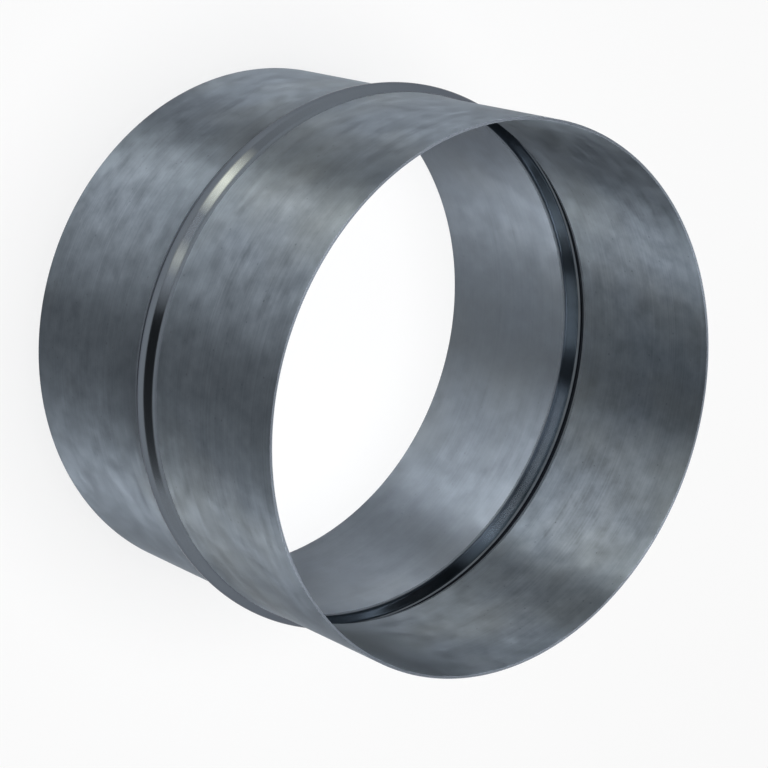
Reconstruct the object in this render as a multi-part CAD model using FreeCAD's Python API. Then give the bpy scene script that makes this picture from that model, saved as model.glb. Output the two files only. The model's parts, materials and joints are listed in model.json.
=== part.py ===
"""Duct connector: a short male sleeve of galvanised sheet with a stop bead rolled round its middle.

A round duct slides over each spigot until its end meets the bead. The sleeve stands on its lower rim:
the tube's axis is +Z and the origin is the centre of the lower rim. Lengths are in mm, angles in degrees.
"""
import FreeCAD, Part
import math
import os

# Driving dimensions of the spigots
DUCT_BORE = 125.0            # inside diameter of the ducts that slide over the spigots
DUCT_CLEARANCE = 0.5         # radial gap between a spigot and its duct
SHEET_THICKNESS = 0.6
SPIGOT_LENGTH = 35.5         # straight wall from a rim to the bead's lead-in

# Driving dimensions of the rolled bead, on the outer face of the sheet
BEAD_HEIGHT = 2.0            # crest above the spigot wall
BEAD_CREST_RADIUS = 2.5
BEAD_ROOT_RADIUS = 2.5
FLANK_ANGLE = 32.0           # straight flank between a root and the crest, measured from the axis
LEAD_IN_LENGTH = 6.0         # slightly sloping wall that the bead's roll leaves on each side of it
LEAD_IN_ANGLE = 2.0

# Sizes that follow
SPIGOT_RADIUS = DUCT_BORE / 2 - DUCT_CLEARANCE
LEAD_IN_SLOPE = math.radians(LEAD_IN_ANGLE)
FLANK_SLOPE = math.radians(FLANK_ANGLE)

# Height that is left for the straight flank when the lead-in and both arcs have taken theirs
LEAD_IN_RISE = LEAD_IN_LENGTH * math.sin(LEAD_IN_SLOPE)
ROOT_RISE = BEAD_ROOT_RADIUS * (math.cos(LEAD_IN_SLOPE) - math.cos(FLANK_SLOPE))
CREST_RISE = BEAD_CREST_RADIUS * (1 - math.cos(FLANK_SLOPE))
FLANK_RISE = BEAD_HEIGHT - LEAD_IN_RISE - ROOT_RISE - CREST_RISE

# Centres of the arcs on the bead's lower half, as (distance from the axis, height)
ROOT_CENTRE = (
    SPIGOT_RADIUS + LEAD_IN_RISE + BEAD_ROOT_RADIUS * math.cos(LEAD_IN_SLOPE),
    SPIGOT_LENGTH + LEAD_IN_LENGTH * math.cos(LEAD_IN_SLOPE) - BEAD_ROOT_RADIUS * math.sin(LEAD_IN_SLOPE),
)
CREST_CENTRE = (
    SPIGOT_RADIUS + BEAD_HEIGHT - BEAD_CREST_RADIUS,
    ROOT_CENTRE[1]
    + (BEAD_ROOT_RADIUS + BEAD_CREST_RADIUS) * math.sin(FLANK_SLOPE)
    + FLANK_RISE / math.tan(FLANK_SLOPE),
)
OVERALL_LENGTH = 2 * CREST_CENTRE[1]


def on_arc(centre, radius, slope):
    """Point of an arc where the wall has this slope; a negative radius is an arc hollow to the outside."""
    return (centre[0] + radius * math.cos(slope), centre[1] - radius * math.sin(slope))


def mirrored(point):
    """The same point on the other side of the bead's middle plane."""
    return (point[0], OVERALL_LENGTH - point[1])


def vector(point):
    """A point of the section, placed in the XZ plane."""
    return FreeCAD.Vector(point[0], 0, point[1])


def line(start, end):
    """Straight edge of the section."""
    return Part.LineSegment(vector(start), vector(end)).toShape()


def arc(start, middle, end):
    """Round edge of the section."""
    return Part.Arc(vector(start), vector(middle), vector(end)).toShape()


def rim_point(offset):
    """Where a face of the sheet meets the lower rim."""
    return (SPIGOT_RADIUS + offset, 0)


def sheet_face(offset):
    """Edges of a face of the sheet from the lower rim to the upper, offset outwards from the outer face."""
    root_radius = offset - BEAD_ROOT_RADIUS
    crest_radius = offset + BEAD_CREST_RADIUS

    rim = rim_point(offset)
    lead_in = (SPIGOT_RADIUS + offset, SPIGOT_LENGTH - offset * math.tan(LEAD_IN_SLOPE / 2))
    root = on_arc(ROOT_CENTRE, root_radius, LEAD_IN_SLOPE)
    root_middle = on_arc(ROOT_CENTRE, root_radius, (LEAD_IN_SLOPE + FLANK_SLOPE) / 2)
    flank_foot = on_arc(ROOT_CENTRE, root_radius, FLANK_SLOPE)
    flank_head = on_arc(CREST_CENTRE, crest_radius, FLANK_SLOPE)
    crest = on_arc(CREST_CENTRE, crest_radius, 0)

    return [
        line(rim, lead_in),
        line(lead_in, root),
        arc(root, root_middle, flank_foot),
        line(flank_foot, flank_head),
        arc(flank_head, crest, mirrored(flank_head)),
        line(mirrored(flank_head), mirrored(flank_foot)),
        arc(mirrored(flank_foot), mirrored(root_middle), mirrored(root)),
        line(mirrored(root), mirrored(lead_in)),
        line(mirrored(lead_in), mirrored(rim)),
    ]


def sheet_section():
    """Closed section of the sheet, even in thickness through the bead, with square-cut rims."""
    outer_rim = rim_point(0)
    inner_rim = rim_point(-SHEET_THICKNESS)
    edges = sheet_face(0)
    edges.append(line(mirrored(outer_rim), mirrored(inner_rim)))
    edges.extend(reversed(sheet_face(-SHEET_THICKNESS)))
    edges.append(line(inner_rim, outer_rim))
    return Part.Face(Part.Wire(edges))


def connector_sleeve():
    """The whole connector, one sheet closed round the axis."""
    axis_point = FreeCAD.Vector(0, 0, 0)
    axis_direction = FreeCAD.Vector(0, 0, 1)
    return sheet_section().revolve(axis_point, axis_direction, 360)


os.makedirs("parts", exist_ok=True)
connector_sleeve().exportStep("parts/connector_sleeve.step")
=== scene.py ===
"""Looks of a round duct connector in galvanised sheet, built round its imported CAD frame.

The sleeve stands on its lower rim with its axis along +Z. Lengths are in metres.
"""

import json
import logging
import math
from dataclasses import dataclass, field
from enum import Enum
from typing import Any, Union

import bpy
from mathutils import Matrix, Vector


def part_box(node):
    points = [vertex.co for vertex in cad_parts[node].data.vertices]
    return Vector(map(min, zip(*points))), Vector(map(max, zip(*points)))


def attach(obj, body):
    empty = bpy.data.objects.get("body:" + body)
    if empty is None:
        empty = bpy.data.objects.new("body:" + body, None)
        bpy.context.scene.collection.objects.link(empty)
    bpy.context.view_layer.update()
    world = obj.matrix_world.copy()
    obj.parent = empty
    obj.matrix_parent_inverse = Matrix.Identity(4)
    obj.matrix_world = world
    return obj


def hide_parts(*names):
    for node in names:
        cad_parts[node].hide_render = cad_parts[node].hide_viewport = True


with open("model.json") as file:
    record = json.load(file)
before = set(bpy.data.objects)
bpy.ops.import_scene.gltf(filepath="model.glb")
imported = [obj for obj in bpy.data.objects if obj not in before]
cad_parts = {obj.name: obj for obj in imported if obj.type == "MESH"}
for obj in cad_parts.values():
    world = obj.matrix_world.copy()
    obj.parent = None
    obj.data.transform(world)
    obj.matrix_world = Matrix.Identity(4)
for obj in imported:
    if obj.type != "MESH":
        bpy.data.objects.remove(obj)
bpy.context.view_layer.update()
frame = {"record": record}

MM = 0.001
LOG = logging.getLogger("duct_connector")

Colour = tuple[float, float, float]
Triple = tuple[float, float, float]
Number = Union[int, float]

WHITE: Colour = (1.0, 1.0, 1.0)
LAMP_YELLOW: Colour = (1.0, 0.90, 0.64)
DEGREES = 180 / math.pi


class Value:
    """An output socket that can be used in a plain expression; each operator adds a Math node."""

    def __init__(self, graph: "Graph", socket: bpy.types.NodeSocket) -> None:
        """Wrap one output socket of a graph."""
        self.graph = graph
        self.socket = socket

    def math(self, operation: str, *others: Union["Value", Number]) -> "Value":
        """Send this value through a Math node.

        Args:
            operation: Name of the Math node's operation.
            others: The values or numbers of its further inputs.

        Returns:
            The result.
        """
        return self.graph.math(operation, self, *others)

    def __add__(self, other: Union["Value", Number]) -> "Value":
        """Sum of two values."""
        return self.graph.math("ADD", self, other)

    def __radd__(self, other: Number) -> "Value":
        """Sum with a number on the left."""
        return self.graph.math("ADD", other, self)

    def __sub__(self, other: Union["Value", Number]) -> "Value":
        """Difference of two values."""
        return self.graph.math("SUBTRACT", self, other)

    def __rsub__(self, other: Number) -> "Value":
        """A number less this value."""
        return self.graph.math("SUBTRACT", other, self)

    def __mul__(self, other: Union["Value", Number]) -> "Value":
        """Product of two values."""
        return self.graph.math("MULTIPLY", self, other)

    def __rmul__(self, other: Number) -> "Value":
        """Product with a number on the left."""
        return self.graph.math("MULTIPLY", other, self)

    def __truediv__(self, other: Union["Value", Number]) -> "Value":
        """Quotient of two values."""
        return self.graph.math("DIVIDE", self, other)

    def __rtruediv__(self, other: Number) -> "Value":
        """A number divided by this value."""
        return self.graph.math("DIVIDE", other, self)

    def __pow__(self, other: Union["Value", Number]) -> "Value":
        """This value raised to a power."""
        return self.graph.math("POWER", self, other)

    def root(self) -> "Value":
        """Square root, with what lies under zero taken as zero."""
        return self.math("MAXIMUM", 0.0).math("SQRT")

    def clamp(self) -> "Value":
        """This value held between 0 and 1."""
        return self.math("MAXIMUM", 0.0).math("MINIMUM", 1.0)

    def above(self, limit: Number, edge: Number) -> "Value":
        """Tell where this value is over a limit.

        Args:
            limit: Where the answer is halfway.
            edge: How far the answer takes from 0 to 1.

        Returns:
            0 under the limit, 1 over it.
        """
        return ((self - limit) / edge + 0.5).clamp()

    def below(self, limit: Number, edge: Number) -> "Value":
        """Tell where this value is under a limit.

        Args:
            limit: Where the answer is halfway.
            edge: How far the answer takes from 0 to 1.

        Returns:
            1 under the limit, 0 over it.
        """
        return ((limit - self) / edge + 0.5).clamp()


Input = Union[Value, Number, str, bool, tuple, Vector, bpy.types.ID]


class Graph:
    """A node tree and the one way of adding nodes to it."""

    def __init__(self, tree: bpy.types.NodeTree) -> None:
        """Start on an emptied node tree."""
        self.tree = tree
        tree.nodes.clear()

    def node(
        self,
        kind: str,
        settings: dict[str, Any],
        inputs: dict[Union[str, int], Input],
    ) -> bpy.types.Node:
        """Add a node.

        Args:
            kind: Blender's type name of the node.
            settings: Its properties, set before its sockets.
            inputs: Values or links of its sockets, by socket name or place.

        Returns:
            The new node.
        """
        made = self.tree.nodes.new(kind)
        for name, setting in settings.items():
            setattr(made, name, setting)
        for key, given in inputs.items():
            socket = made.inputs[key]
            if isinstance(given, Value):
                self.tree.links.new(given.socket, socket)
            else:
                socket.default_value = given
        return made

    def value(
        self,
        kind: str,
        settings: dict[str, Any],
        inputs: dict[Union[str, int], Input],
        output: Union[str, int] = 0,
    ) -> Value:
        """Add a node and take one of its outputs.

        Args:
            kind: Blender's type name of the node.
            settings: Its properties, set before its sockets.
            inputs: Values or links of its sockets, by socket name or place.
            output: Name or place of the output.

        Returns:
            That output.
        """
        return Value(self, self.node(kind, settings, inputs).outputs[output])

    def math(self, operation: str, *terms: Union[Value, Number]) -> Value:
        """Add a Math node on up to three terms."""
        return self.value("ShaderNodeMath", {"operation": operation}, dict(enumerate(terms)))

    def vector(self, x: Input, y: Input, z: Input) -> Value:
        """Join three values into a vector."""
        return self.value("ShaderNodeCombineXYZ", {}, {"X": x, "Y": y, "Z": z})

    def parts(self, vector: Value) -> tuple[Value, Value, Value]:
        """Split a vector into its three values."""
        split = self.node("ShaderNodeSeparateXYZ", {}, {0: vector})
        return Value(self, split.outputs[0]), Value(self, split.outputs[1]), Value(self, split.outputs[2])

    def scaled(self, vector: Value, scale: Triple) -> Value:
        """Stretch a vector by three factors."""
        return self.value("ShaderNodeVectorMath", {"operation": "MULTIPLY"}, {0: vector, 1: scale})

    def mix(self, share: Value, first: Union[Value, Colour], second: Colour) -> Value:
        """Mix two colours.

        Args:
            share: How much of the second colour shows, from 0 to 1.
            first: Colour at 0.
            second: Colour at 1.

        Returns:
            The mixed colour.
        """
        settings = {"data_type": "RGBA", "blend_type": "MIX", "clamp_factor": True}
        start = first if isinstance(first, Value) else opaque(first)
        return self.value("ShaderNodeMix", settings, {0: share, 6: start, 7: opaque(second)}, 2)

    def noise(self, vector: Value, seed: float, detail: float = 2.0, roughness: float = 0.5) -> Value:
        """Noise of about 0 to 1 that changes over one unit of the vector.

        Args:
            vector: Where the noise is read.
            seed: Picks one pattern of many.
            detail: How many finer layers are added.
            roughness: Strength of the finer layers.

        Returns:
            The noise value.
        """
        settings = {"noise_dimensions": "4D"}
        inputs = {"Vector": vector, "W": seed, "Scale": 1.0, "Detail": detail, "Roughness": roughness}
        return self.value("ShaderNodeTexNoise", settings, inputs, 0)


def opaque(colour: Colour) -> tuple[float, float, float, float]:
    """A colour with full alpha."""
    return (*colour, 1.0)


@dataclass(frozen=True)
class ZincPatterns:
    """What varies over the whole zinc coat, each a value of about 0 to 1."""

    streak: Value
    cloud: Value
    spangle: Value
    stain: Value
    speck: Value


@dataclass(frozen=True)
class ZincZones:
    """Where the sheet's faces and edges differ, each a value from 0 to 1."""

    inside: Value
    under_bead: Value
    rolled: Value
    cut: Value


@dataclass(frozen=True)
class ZincFinish:
    """Dull hot-dip zinc on rolled sheet: streaks round the tube, cloudy spangle and fine dark specks."""

    name: str = "galvanised_steel"
    inner_mark: str = "inner_face"

    # Colours of the coat, its stains and specks, the painted light on the inner face below the bead, the
    # rolled bead and the cut edges
    light: Colour = (0.104, 0.121, 0.140)
    dark: Colour = (0.054, 0.0635, 0.074)
    warm: Colour = (0.108, 0.112, 0.098)
    speck: Colour = (0.032, 0.036, 0.042)
    # Painted light: a lighter colour on the inner face below the bead, which lies in shade inside the tube
    painted_light_inside: Colour = (0.20, 0.225, 0.26)
    rolled: Colour = (0.150, 0.172, 0.200)
    cut: Colour = (0.030, 0.034, 0.040)
    edge_tint: Colour = (0.50, 0.50, 0.52)

    # How much of a colour shows where it shows most
    warm_share: float = 0.6
    speck_share: float = 0.4
    painted_light_share: float = 0.32
    rolled_share: float = 0.75

    # How strongly each pattern changes the coat's tone
    streak_contrast: float = 0.75
    cloud_contrast: float = 1.1
    spangle_contrast: float = 0.6
    stain_start: float = 0.48
    stain_contrast: float = 2.2

    # Gloss: the rolling marks spread a reflection along the axis
    roughness: float = 0.33
    streak_roughness: float = 0.06
    cloud_roughness: float = 0.10
    rolled_roughness: float = 0.095
    groove_polish: float = 0.025
    cut_roughness: float = 0.70
    anisotropy: float = 1.0
    anisotropy_turn: float = 0.25

    # Relief of the rolling marks
    relief: float = 0.28
    streak_depth: float = 0.012 * MM
    spangle_relief: float = 0.5

    # Sizes of the patterns and of the soft edges between zones
    streak_pitch: float = 0.45 * MM
    streak_length: float = 60 * MM
    cloud_size: float = 5.0 * MM
    spangle_size: float = 2.6 * MM
    stain_size: float = 45 * MM
    speck_pitch: float = 2.4 * MM
    rolled_edge: float = 1.2 * MM
    cut_depth: float = 0.15 * MM

    # Specks, in shares of their pitch; only the picks over the limit get one
    speck_smallest: float = 0.05
    speck_growth: float = 0.09
    speck_sharpness: float = 18.0
    speck_limit: float = 0.60

    # Layers and seeds of the noise
    streak_layers: float = 4.0
    streak_layer_strength: float = 0.62
    patch_layers: float = 3.0
    patch_layer_strength: float = 0.6
    streak_seed: float = 1.3
    cloud_seed: float = 3.1
    spangle_seed: float = 8.4
    stain_seed: float = 5.7

    def material(self, bead_middle: float, bead_reach: float) -> bpy.types.Material:
        """Build the material.

        Args:
            bead_middle: Height of the bead's middle plane.
            bead_reach: How far from that plane the bead's roll has smoothed the zinc.

        Returns:
            The finished material.
        """
        made = bpy.data.materials.new(self.name)
        made.use_nodes = True
        graph = Graph(made.node_tree)
        place = graph.value("ShaderNodeTexCoord", {}, {}, "Object")

        patterns = ZincPatterns(
            streak=self.streaks(graph, place),
            cloud=self.patches(graph, place, self.cloud_size, self.cloud_seed),
            spangle=self.patches(graph, place, self.spangle_size, self.spangle_seed),
            stain=self.patches(graph, place, self.stain_size, self.stain_seed),
            speck=self.specks(graph, place),
        )
        zones = self.zones(graph, place, bead_middle, bead_reach)
        marks = (patterns.streak + self.spangle_relief * patterns.spangle) * (1 - zones.rolled)
        relief = graph.value(
            "ShaderNodeBump",
            {},
            {"Strength": self.relief, "Distance": self.streak_depth, "Height": marks},
        )
        shader = graph.value(
            "ShaderNodeBsdfPrincipled",
            {"distribution": "GGX"},
            {
                "Base Color": self.coat_colour(graph, patterns, zones),
                "Metallic": 1.0,
                "Specular Tint": opaque(self.edge_tint),
                "Roughness": self.coat_roughness(patterns, zones),
                "Anisotropic": self.anisotropy,
                "Anisotropic Rotation": self.anisotropy_turn,
                "Normal": relief,
            },
        )
        graph.node("ShaderNodeOutputMaterial", {}, {"Surface": shader})
        return made

    def zones(self, graph: Graph, place: Value, bead_middle: float, bead_reach: float) -> ZincZones:
        """Tell the sheet's faces and edges apart.

        Args:
            graph: The material's graph.
            place: Object coordinates.
            bead_middle: Height of the bead's middle plane.
            bead_reach: How far from that plane the bead's roll has smoothed the zinc.

        Returns:
            The inner face, what lies under the bead, the rolled bead and the cut edges.
        """
        _, _, height = graph.parts(place)
        away = (height - bead_middle).math("ABSOLUTE")
        return ZincZones(
            inside=graph.value("ShaderNodeAttribute", {"attribute_name": self.inner_mark}, {}, "Fac"),
            under_bead=((bead_middle - height) / bead_reach).clamp(),
            rolled=away.below(bead_reach, self.rolled_edge),
            cut=((away - bead_middle) / self.cut_depth + 1).clamp(),
        )

    def coat_colour(self, graph: Graph, patterns: ZincPatterns, zones: ZincZones) -> Value:
        """Colour of the zinc: the coat's patterns first, then the zones over them, with painted light on the
        inner face below the bead.

        Args:
            graph: The material's graph.
            patterns: What varies over the coat.
            zones: Where faces and edges differ.

        Returns:
            The colour.
        """
        tone = 0.5 + self.streak_contrast * (patterns.streak - 0.5)
        tone = tone + self.cloud_contrast * (patterns.cloud - 0.5)
        tone = tone + self.spangle_contrast * (patterns.spangle - 0.5)
        stain = ((patterns.stain - self.stain_start) * self.stain_contrast).clamp()

        colour = graph.mix(tone.clamp(), self.dark, self.light)
        colour = graph.mix(stain * self.warm_share, colour, self.warm)
        colour = graph.mix(patterns.speck * self.speck_share, colour, self.speck)
        # Painted light: the inner face below the bead is lightened where it lies in shade
        colour = graph.mix(zones.inside * zones.under_bead * self.painted_light_share, colour, self.painted_light_inside)
        colour = graph.mix(zones.rolled * (1 - zones.inside) * self.rolled_share, colour, self.rolled)
        return graph.mix(zones.cut, colour, self.cut)

    def coat_roughness(self, patterns: ZincPatterns, zones: ZincZones) -> Value:
        """Roughness of the zinc: smoother where the bead is rolled, dull on the cut edges.

        Args:
            patterns: What varies over the coat.
            zones: Where faces and edges differ.

        Returns:
            The roughness.
        """
        plain = self.roughness + self.streak_roughness * (patterns.streak - 0.5)
        plain = plain + self.cloud_roughness * (patterns.cloud - 0.5)
        smooth = self.rolled_roughness - self.groove_polish * zones.inside
        rolled = plain + zones.rolled * (smooth - plain)
        return rolled + zones.cut * (self.cut_roughness - rolled)

    def streaks(self, graph: Graph, place: Value) -> Value:
        """Fine rolling lines round the tube.

        Args:
            graph: The material's graph.
            place: Object coordinates.

        Returns:
            A value of about 0 to 1.
        """
        stretch = (1 / self.streak_length, 1 / self.streak_length, 1 / self.streak_pitch)
        spot = graph.scaled(place, stretch)
        return graph.noise(spot, self.streak_seed, self.streak_layers, self.streak_layer_strength)

    def patches(self, graph: Graph, place: Value, size: float, seed: float) -> Value:
        """Cloudy patches of one size.

        Args:
            graph: The material's graph.
            place: Object coordinates.
            size: Width of a patch.
            seed: Picks one pattern of many.

        Returns:
            A value of about 0 to 1.
        """
        spot = graph.scaled(place, (1 / size, 1 / size, 1 / size))
        return graph.noise(spot, seed, self.patch_layers, self.patch_layer_strength)

    def specks(self, graph: Graph, place: Value) -> Value:
        """Sparse small dark points.

        Args:
            graph: The material's graph.
            place: Object coordinates.

        Returns:
            1 at a point's middle, 0 elsewhere.
        """
        cells = graph.node(
            "ShaderNodeTexVoronoi",
            {"voronoi_dimensions": "3D"},
            {"Vector": place, "Scale": 1 / self.speck_pitch, "Randomness": 1.0},
        )
        distance = Value(graph, cells.outputs["Distance"])
        pick, _, _ = graph.parts(Value(graph, cells.outputs["Color"]))
        reach = self.speck_smallest + self.speck_growth * pick
        point = ((reach - distance) * self.speck_sharpness).clamp()
        return point * pick.math("GREATER_THAN", self.speck_limit)


@dataclass(frozen=True)
class FloorFinish:
    """Matt pale paper that shows as the picture's own white and keeps a soft shadow."""

    name: str = "floor_paper"
    colour: Colour = (0.80, 0.80, 0.80)
    glow_share: float = 0.80

    def material(self) -> bpy.types.Material:
        """Build the material.

        Returns:
            The finished material.
        """
        made = bpy.data.materials.new(self.name)
        made.use_nodes = True
        graph = Graph(made.node_tree)
        rays = graph.node("ShaderNodeLightPath", {}, {})
        kinds = ("Is Camera Ray", "Is Glossy Ray", "Is Transmission Ray")
        seen = [Value(graph, rays.outputs[kind]) for kind in kinds]
        share = (seen[0] + seen[1] + seen[2]).clamp() * self.glow_share
        paper = graph.value("ShaderNodeBsdfDiffuse", {}, {"Color": opaque(self.colour)})
        glow = graph.value("ShaderNodeEmission", {}, {"Color": opaque(WHITE), "Strength": 1.0})
        shader = graph.value("ShaderNodeMixShader", {}, {0: share, 1: paper, 2: glow})
        graph.node("ShaderNodeOutputMaterial", {}, {"Surface": shader})
        return made


@dataclass(frozen=True)
class SheetForm:
    """Geometry tree of the sleeve's outer face: a round wall with a bead rolled round its middle."""

    name: str = "sleeve_form"
    rows_even_share: float = 0.30
    rows_spread_power: float = 3.0
    wave_size: float = 28 * MM
    join_distance: float = 0.001 * MM

    SIZES = (
        "Length",
        "Spigot Radius",
        "Bead Height",
        "Crest Radius",
        "Root Radius",
        "Flank Slope",
        "Lead-in Length",
        "Lead-in Slope",
        "Unevenness",
        "Seed",
    )
    COUNTS = ("Around", "Along")

    def build(self) -> bpy.types.NodeTree:
        """Build the tree with its named inputs.

        Returns:
            The finished tree.
        """
        tree = bpy.data.node_groups.new(self.name, "GeometryNodeTree")
        graph = Graph(tree)
        for size in self.SIZES:
            tree.interface.new_socket(size, in_out="INPUT", socket_type="NodeSocketFloat")
        for count in self.COUNTS:
            tree.interface.new_socket(count, in_out="INPUT", socket_type="NodeSocketInt")
        tree.interface.new_socket("Finish", in_out="INPUT", socket_type="NodeSocketMaterial")
        tree.interface.new_socket("Geometry", in_out="OUTPUT", socket_type="NodeSocketGeometry")
        given = graph.node("NodeGroupInput", {}, {})
        sizes = {size: Value(graph, given.outputs[size]) for size in (*self.SIZES, *self.COUNTS, "Finish")}

        grid = graph.value(
            "GeometryNodeMeshGrid",
            {},
            {"Size X": 1.0, "Size Y": 1.0, "Vertices X": sizes["Around"] + 1, "Vertices Y": sizes["Along"]},
        )
        place = graph.value("GeometryNodeInputPosition", {}, {})
        across, along, _ = graph.parts(place)
        turn = across * (2 * math.pi)
        half = sizes["Length"] * 0.5
        share = along.math("ABSOLUTE") * 2
        spread = self.rows_even_share * share + (1 - self.rows_even_share) * share**self.rows_spread_power
        distance = half * spread
        height = half + along.math("SIGN") * distance
        radius = self.face_radius(sizes, distance) + self.wave(graph, sizes, turn, height)

        ring = graph.vector(radius * turn.math("COSINE"), radius * turn.math("SINE"), height)
        shaped = graph.value("GeometryNodeSetPosition", {}, {"Geometry": grid, "Position": ring})
        joint = {"Geometry": shaped, "Distance": self.join_distance}
        closed = graph.value("GeometryNodeMergeByDistance", {}, joint)
        smooth = graph.value("GeometryNodeSetShadeSmooth", {}, {"Geometry": closed, "Shade Smooth": True})
        real = graph.value("GeometryNodeRealizeInstances", {}, {"Geometry": smooth})
        dressed = graph.value("GeometryNodeSetMaterial", {}, {"Geometry": real, "Material": sizes["Finish"]})
        graph.node("NodeGroupOutput", {"is_active_output": True}, {"Geometry": dressed})
        return tree

    def face_radius(self, sizes: dict[str, Value], distance: Value) -> Value:
        """Radius of the outer face at a distance from the bead's middle plane.

        Args:
            sizes: The tree's inputs.
            distance: Distance from the middle plane along the axis.

        Returns:
            The radius there.
        """
        height = sizes["Bead Height"]
        slope = sizes["Lead-in Slope"]
        flank = sizes["Flank Slope"]
        root = sizes["Root Radius"]
        crest = sizes["Crest Radius"]
        sine = flank.math("SINE")
        cosine = flank.math("COSINE")

        root_height = sizes["Lead-in Length"] * slope.math("SINE") + root * slope.math("COSINE")
        crest_end = crest * sine
        flank_head = height - crest + crest * cosine
        flank_end = crest_end + (flank_head - root_height + root * cosine) * cosine / sine
        root_middle = flank_end + root * sine
        root_end = root_middle - root * slope.math("SINE")
        lead_end = root_end + sizes["Lead-in Length"] * slope.math("COSINE")

        lead_rise = (lead_end - distance).math("MAXIMUM", 0.0) * slope.math("TANGENT")
        root_rise = root_height - (root * root - (root_middle - distance) ** 2).root()
        flank_rise = flank_head - (distance - crest_end) * sine / cosine
        crest_rise = height - crest + (crest * crest - distance * distance).root()
        in_root = distance.math("LESS_THAN", root_end)
        in_flank = distance.math("LESS_THAN", flank_end)
        in_crest = distance.math("LESS_THAN", crest_end)
        rise = lead_rise + in_root * (root_rise - lead_rise) + in_flank * (flank_rise - root_rise)
        return sizes["Spigot Radius"] + rise + in_crest * (crest_rise - flank_rise)

    def wave(self, graph: Graph, sizes: dict[str, Value], turn: Value, height: Value) -> Value:
        """Slight unevenness of the rolled sheet.

        Args:
            graph: The tree's graph.
            sizes: The tree's inputs.
            turn: Angle round the axis.
            height: Height above the lower rim.

        Returns:
            How far the face stands off its true radius.
        """
        reach = sizes["Spigot Radius"] / self.wave_size
        spot = graph.vector(reach * turn.math("COSINE"), reach * turn.math("SINE"), height / self.wave_size)
        return sizes["Unevenness"] * (graph.noise(spot, sizes["Seed"], 1.0) - 0.5)


@dataclass
class ConnectorSleeve:
    """The one-piece sleeve of sheet with its rolled bead."""

    length: float
    spigot_radius: float
    sheet: float
    bead_height: float
    crest_radius: float = 2.5 * MM
    root_radius: float = 2.5 * MM
    flank_slope: float = math.radians(32.0)
    lead_in_length: float = 6.0 * MM
    lead_in_slope: float = math.radians(2.0)
    rim_round: float = 0.12 * MM
    rim_steps: int = 2
    rim_angle: float = math.radians(60.0)
    burnished_reach: float = 3.8 * MM
    unevenness: float = 0.07 * MM
    seed: float = 7.0
    around: int = 300
    along: int = 141
    node: str = "connector_sleeve"
    slot: str = "galvanised_steel"
    finish: ZincFinish = field(default_factory=ZincFinish)

    @classmethod
    def from_frame(cls, record: dict[str, Any]) -> "ConnectorSleeve":
        """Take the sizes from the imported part.

        Args:
            record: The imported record, whose mounts give the spigot and the bore.

        Returns:
            A sleeve of the CAD part's sizes.
        """
        low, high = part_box("connector_sleeve")
        radii = {mount["name"]: mount["dims"]["r_mm"] * MM for mount in record["mounts"]}
        spigot = radii["upper_spigot"]
        return cls(
            length=high.z - low.z,
            spigot_radius=spigot,
            sheet=spigot - radii["air_bore"],
            bead_height=(high.x - low.x) / 2 - spigot,
        )

    def build(self) -> bpy.types.Object:
        """Make the sleeve's mesh, dress it and put it in the CAD node's place.

        Returns:
            The finished piece.
        """
        piece = bpy.data.objects.new("sleeve", bpy.data.meshes.new("sleeve"))
        bpy.context.scene.collection.objects.link(piece)
        self.add_form(piece)
        self.add_thickness(piece)

        shaped = piece.evaluated_get(bpy.context.evaluated_depsgraph_get())
        plain = bpy.data.meshes.new_from_object(shaped)
        piece.modifiers.clear()
        piece.data = plain
        self.mark_inner_face(plain)

        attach(piece, "root")
        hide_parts(self.node)
        return piece

    def mark_inner_face(self, mesh: bpy.types.Mesh) -> None:
        """Mark the sheet's inner face, where the bead is a groove, for the finish.

        Args:
            mesh: The sleeve's finished mesh.
        """
        marks = mesh.attributes.new(self.finish.inner_mark, "FLOAT", "POINT")
        for vertex, mark in zip(mesh.vertices, marks.data):
            outward = vertex.co.x * vertex.normal.x + vertex.co.y * vertex.normal.y
            mark.value = float(outward < 0)

    def add_form(self, piece: bpy.types.Object) -> None:
        """Add the geometry tree and set its inputs.

        Args:
            piece: The object that gets the sleeve's outer face.
        """
        tree = SheetForm().build()
        form = piece.modifiers.new("form", "NODES")
        form.node_group = tree
        settings = {
            "Length": self.length,
            "Spigot Radius": self.spigot_radius,
            "Bead Height": self.bead_height,
            "Crest Radius": self.crest_radius,
            "Root Radius": self.root_radius,
            "Flank Slope": self.flank_slope,
            "Lead-in Length": self.lead_in_length,
            "Lead-in Slope": self.lead_in_slope,
            "Unevenness": self.unevenness,
            "Seed": self.seed,
            "Around": self.around,
            "Along": self.along,
            "Finish": self.finish.material(self.length / 2, self.burnished_reach),
        }
        for socket in tree.interface.items_tree:
            if socket.in_out == "INPUT":
                form[socket.identifier] = settings[socket.name]

    def add_thickness(self, piece: bpy.types.Object) -> None:
        """Give the sheet its thickness inwards and break the sharp edges of its rims.

        Args:
            piece: The object that carries the outer face.
        """
        wall = piece.modifiers.new("wall", "SOLIDIFY")
        wall.thickness = self.sheet
        wall.offset = -1.0
        wall.use_even_offset = True
        wall.use_rim = True
        rim = piece.modifiers.new("rim", "BEVEL")
        rim.width = self.rim_round
        rim.segments = self.rim_steps
        rim.limit_method = "ANGLE"
        rim.angle_limit = self.rim_angle
        rim.harden_normals = True


class PanelRow(Enum):
    """The two rows of light panels, each from a lower to an upper elevation in degrees."""

    HIGH = (24.0, 84.0)
    LOW = (3.0, 22.0)


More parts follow.
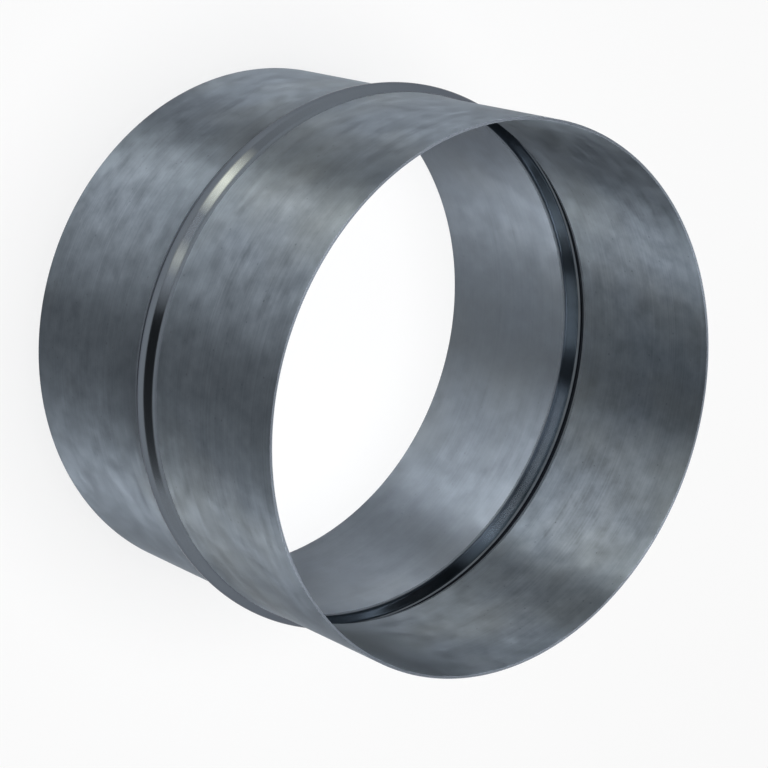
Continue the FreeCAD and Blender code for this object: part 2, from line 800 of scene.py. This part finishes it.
@dataclass(frozen=True)
class LightPanel:
    """A soft panel of light in the surroundings; azimuths count round the axis from the camera, in degrees.

    The strength goes from its first value, where the azimuth starts, to its second, where it ends.
    """

    row: PanelRow
    azimuth: tuple[float, float]
    strength: tuple[float, float]
    colour: Colour = WHITE
    edge: float = 2.0
    row_edge: float = 8.0

    def glow(self, graph: Graph, azimuth: Value, elevation: Value) -> Value:
        """Strength of the panel in a direction.

        Args:
            graph: The world's graph.
            azimuth: Direction round the axis, in degrees.
            elevation: Direction above the floor, in degrees.

        Returns:
            The light there as a colour, which fades across the panel.
        """
        start, end = self.azimuth
        low, high = self.row.value
        first, last = self.strength
        red, green, blue = self.colour
        inside = azimuth.above(start, self.edge) * azimuth.below(end, self.edge)
        inside = inside * elevation.above(low, self.row_edge) * elevation.below(high, self.row_edge)
        fade = ((azimuth - start) / (end - start)).clamp()
        strength = inside * (first + (last - first) * fade)
        return graph.vector(strength * red, strength * green, strength * blue)


@dataclass
class Studio:
    """Pale floor and soft light."""

    camera_azimuth: float = 76.2
    floor_size: float = 12.0
    surround: float = 0.03
    horizon: float = 0.9
    horizon_top: float = 1.5
    horizon_edge: float = 1.0
    panels: tuple[LightPanel, ...] = (
        LightPanel(PanelRow.HIGH, (-180.0, -156.0), (17.0, 17.0)),
        LightPanel(PanelRow.HIGH, (-130.0, -82.0), (22.0, 22.0)),
        LightPanel(PanelRow.HIGH, (-54.0, -36.0), (40.0, 36.0)),
        LightPanel(PanelRow.HIGH, (-36.0, 10.0), (22.0, 6.0)),
        LightPanel(PanelRow.HIGH, (65.0, 94.0), (14.0, 44.0)),
        LightPanel(PanelRow.HIGH, (94.0, 126.0), (15.0, 5.0)),
        LightPanel(PanelRow.HIGH, (130.0, 180.0), (9.0, 20.0)),
        LightPanel(PanelRow.LOW, (-180.0, 2.0), (1.2, 1.0), edge=12.0),
        LightPanel(PanelRow.LOW, (-50.0, -35.0), (5.4, 5.4), LAMP_YELLOW, edge=14.0),
        LightPanel(PanelRow.LOW, (-16.0, -8.0), (1.1, 1.1), LAMP_YELLOW, edge=6.0),
        LightPanel(PanelRow.LOW, (66.0, 180.0), (1.1, 1.1), edge=6.0),
    )
    lamp_height: float = 1.2
    lamp_size: float = 0.6
    lamp_power: float = 15.0

    def build_world(self) -> bpy.types.World:
        """Light the scene from soft panels round and over the object.

        Returns:
            The finished world.
        """
        world = bpy.data.worlds.new("soft_studio")
        bpy.context.scene.world = world
        world.use_nodes = True
        graph = Graph(world.node_tree)
        direction = graph.value("ShaderNodeTexCoord", {}, {}, "Generated")
        turned = graph.value(
            "ShaderNodeVectorRotate",
            {"rotation_type": "Z_AXIS"},
            {"Vector": direction, "Angle": -math.radians(self.camera_azimuth)},
        )
        x, y, z = graph.parts(turned)
        azimuth = y.math("ARCTAN2", x) * DEGREES
        elevation = z.math("ARCSINE") * DEGREES

        low_sky = ((self.horizon_top - elevation) / self.horizon_edge).clamp()
        plain = self.surround + low_sky * (self.horizon - self.surround)
        total = graph.vector(plain, plain, plain)
        for panel in self.panels:
            glow = panel.glow(graph, azimuth, elevation)
            total = graph.value("ShaderNodeVectorMath", {"operation": "ADD"}, {0: total, 1: glow})
        light = graph.value("ShaderNodeBackground", {}, {"Color": total, "Strength": 1.0})
        graph.node("ShaderNodeOutputWorld", {}, {"Surface": light})
        world.cycles_visibility.diffuse = False
        return world

    def build_lamp(self) -> bpy.types.Object:
        """Hang one large soft lamp over the object.

        Returns:
            The lamp.
        """
        data = bpy.data.lights.new("overhead_softbox", "AREA")
        data.shape = "DISK"
        data.size = self.lamp_size
        data.energy = self.lamp_power
        lamp = bpy.data.objects.new("overhead_softbox", data)
        lamp.location = (0.0, 0.0, self.lamp_height)
        bpy.context.scene.collection.objects.link(lamp)
        return lamp

    def build_floor(self) -> bpy.types.Object:
        """Lay the floor under the lower rim.

        Returns:
            The floor.
        """
        reach = self.floor_size / 2
        mesh = bpy.data.meshes.new("floor")
        corners = [(-reach, -reach, 0.0), (reach, -reach, 0.0), (reach, reach, 0.0), (-reach, reach, 0.0)]
        mesh.from_pydata(corners, [], [(0, 1, 2, 3)])
        mesh.materials.append(FloorFinish().material())
        floor = bpy.data.objects.new("floor", mesh)
        bpy.context.scene.collection.objects.link(floor)
        return floor


@dataclass(frozen=True)
class PhotoCamera:
    """Camera at the photograph's viewing angle, rolled so that the axis lies across the picture."""

    location: Triple = (0.0885, 0.36095, 0.48735)
    azimuth: float = 75.538
    elevation: float = 49.548
    roll: float = 108.72
    lens: float = 117.69
    sensor: float = 36.0
    nearest: float = 0.01

    def build(self) -> bpy.types.Object:
        """Make the camera the scene's own.

        Returns:
            The camera.
        """
        data = bpy.data.cameras.new("photo_camera")
        data.lens = self.lens
        data.sensor_width = self.sensor
        data.clip_start = self.nearest
        camera = bpy.data.objects.new("photo_camera", data)
        bpy.context.scene.collection.objects.link(camera)
        round_axis = Matrix.Rotation(math.radians(self.azimuth + 90.0), 4, "Z")
        tilt = Matrix.Rotation(math.radians(90.0 - self.elevation), 4, "X")
        roll = Matrix.Rotation(math.radians(self.roll), 4, "Z")
        camera.matrix_world = Matrix.Translation(Vector(self.location)) @ round_axis @ tilt @ roll
        bpy.context.scene.camera = camera
        return camera


def main() -> None:
    """Build the object, then its surroundings."""
    logging.basicConfig(level=logging.INFO, format="%(message)s")
    bpy.context.scene.view_settings.view_transform = "Standard"

    sleeve = ConnectorSleeve.from_frame(frame["record"])
    piece = sleeve.build()
    LOG.info("%s: %d faces, stands for %s", piece.name, len(piece.data.polygons), sleeve.node)

    studio = Studio()
    studio.build_world()
    LOG.info("%s: hung over the object", studio.build_lamp().name)
    LOG.info("%s: laid under the lower rim", studio.build_floor().name)
    LOG.info("%s: set up", PhotoCamera().build().name)


if __name__ == "__main__":
    main()
